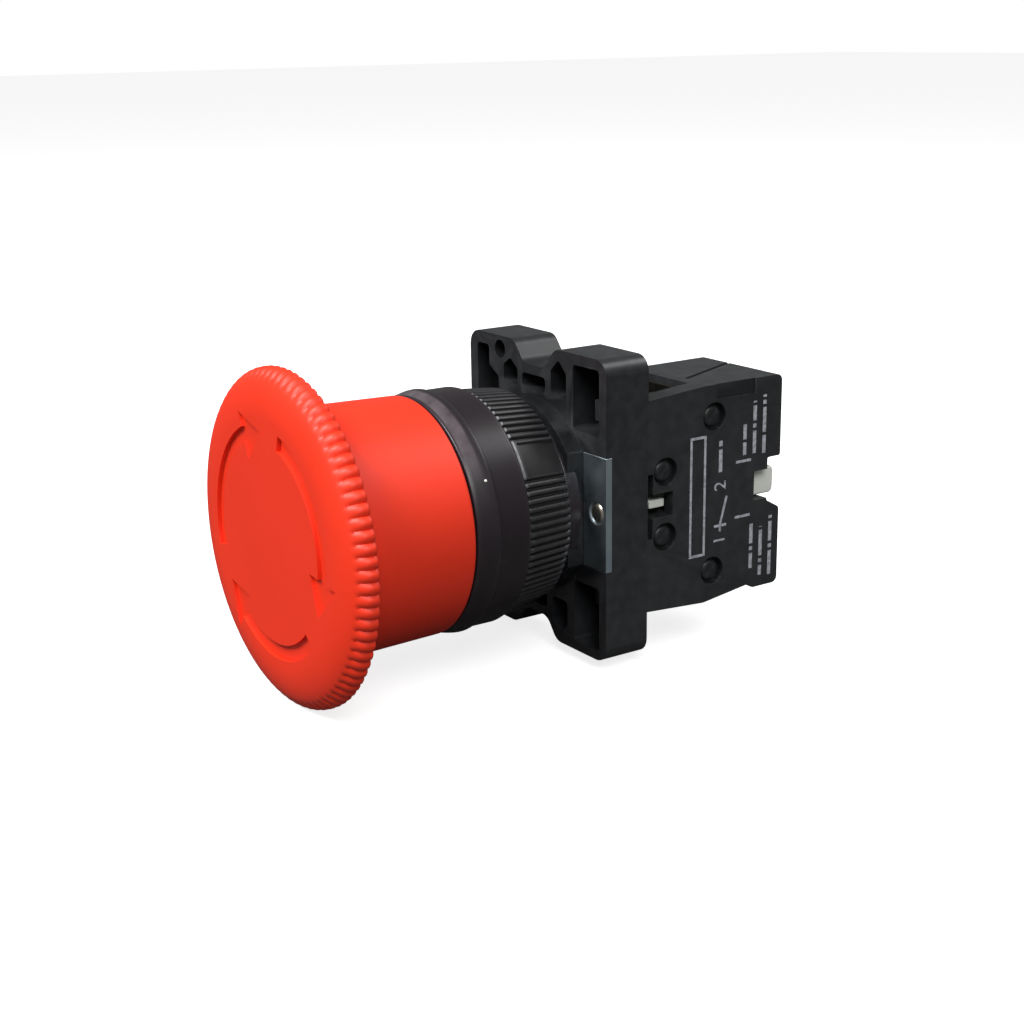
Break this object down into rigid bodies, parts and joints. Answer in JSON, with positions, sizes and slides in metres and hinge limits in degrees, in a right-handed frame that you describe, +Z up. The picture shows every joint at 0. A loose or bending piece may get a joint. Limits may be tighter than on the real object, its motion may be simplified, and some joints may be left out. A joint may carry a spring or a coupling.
{
  "type": "emergency stop button",
  "caption": "Red mushroom-head emergency stop button with bezel, ribbed panel nut, mounting base and contact block; latches when pushed, twists to release.",
  "frame": {"origin": "the button's axis at the bezel's back face, where the panel's front lies", "axes": "+Y runs into the panel along the button's axis, from the mushroom to the contact block; +Z is up; +X is the contact block's side"},
  "size_m": [0.04, 0.0653, 0.04],
  "materials": {
    "red_plastic": "satin moulded",
    "bezel_plastic": "satin moulded",
    "base_plastic": "satin moulded",
    "block_plastic": "fine matt moulded",
    "white_plastic": "satin moulded",
    "zinc_steel": "blue-white zinc plated",
    "steel": "bright ground",
    "spring_steel": "drawn wire",
    "brass": "stamped strip",
    "silver": "satin silver",
    "gasket_rubber": "moulded"
  },
  "bodies": {
    "root": {"operator_body": "bezel_plastic", "cam_sleeve": "white_plastic", "bezel_ring": "bezel_plastic", "panel_gasket": "gasket_rubber", "ring_nut": "bezel_plastic", "mounting_base": "base_plastic", "clamp_plate_right": "zinc_steel", "clamp_plate_left": "zinc_steel", "clamp_screws": "zinc_steel", "return_spring": "spring_steel", "block_housing": "block_plastic", "side_cover": "block_plastic", "shell_pegs": "block_plastic", "block_hooks": "block_plastic", "plunger_springs": "spring_steel", "terminal_upper": "brass", "terminal_lower": "brass", "fixed_tips": "silver", "wire_clamps": "zinc_steel", "terminal_screws": "zinc_steel"},
    "carriage": {"push_rod": "steel", "push_disc": "white_plastic", "rod_clip": "steel", "torsion_spring": "spring_steel"},
    "head": {"head_cap": "red_plastic", "cap_hub": "red_plastic", "latch_pins": "steel"},
    "slider": {"contact_plunger": "white_plastic", "contact_bridge": "brass", "bridge_tips": "silver", "bridge_spring": "spring_steel"}
  },
  "joints": [
    {"name": "head_push", "type": "slide", "parent": "root", "child": "carriage", "axis": [0, 1, 0], "range_m": [-0.0043, 0], "deforming": ["return_spring"]},
    {"name": "head_twist", "type": "hinge", "parent": "carriage", "child": "head", "pos_m": [0, 0, 0], "axis": [0, 1, 0], "range_deg": [0, 45], "stiffness_Nm_per_rad": 0.02},
    {"name": "contact_push", "type": "slide", "parent": "root", "child": "slider", "axis": [0, 1, 0], "range_m": [-0.0043, 0], "deforming": ["plunger_springs"]}
  ],
  "couplings": [
    {"joint": "contact_push", "follows": "head_push", "ratio": 1}
  ]
}
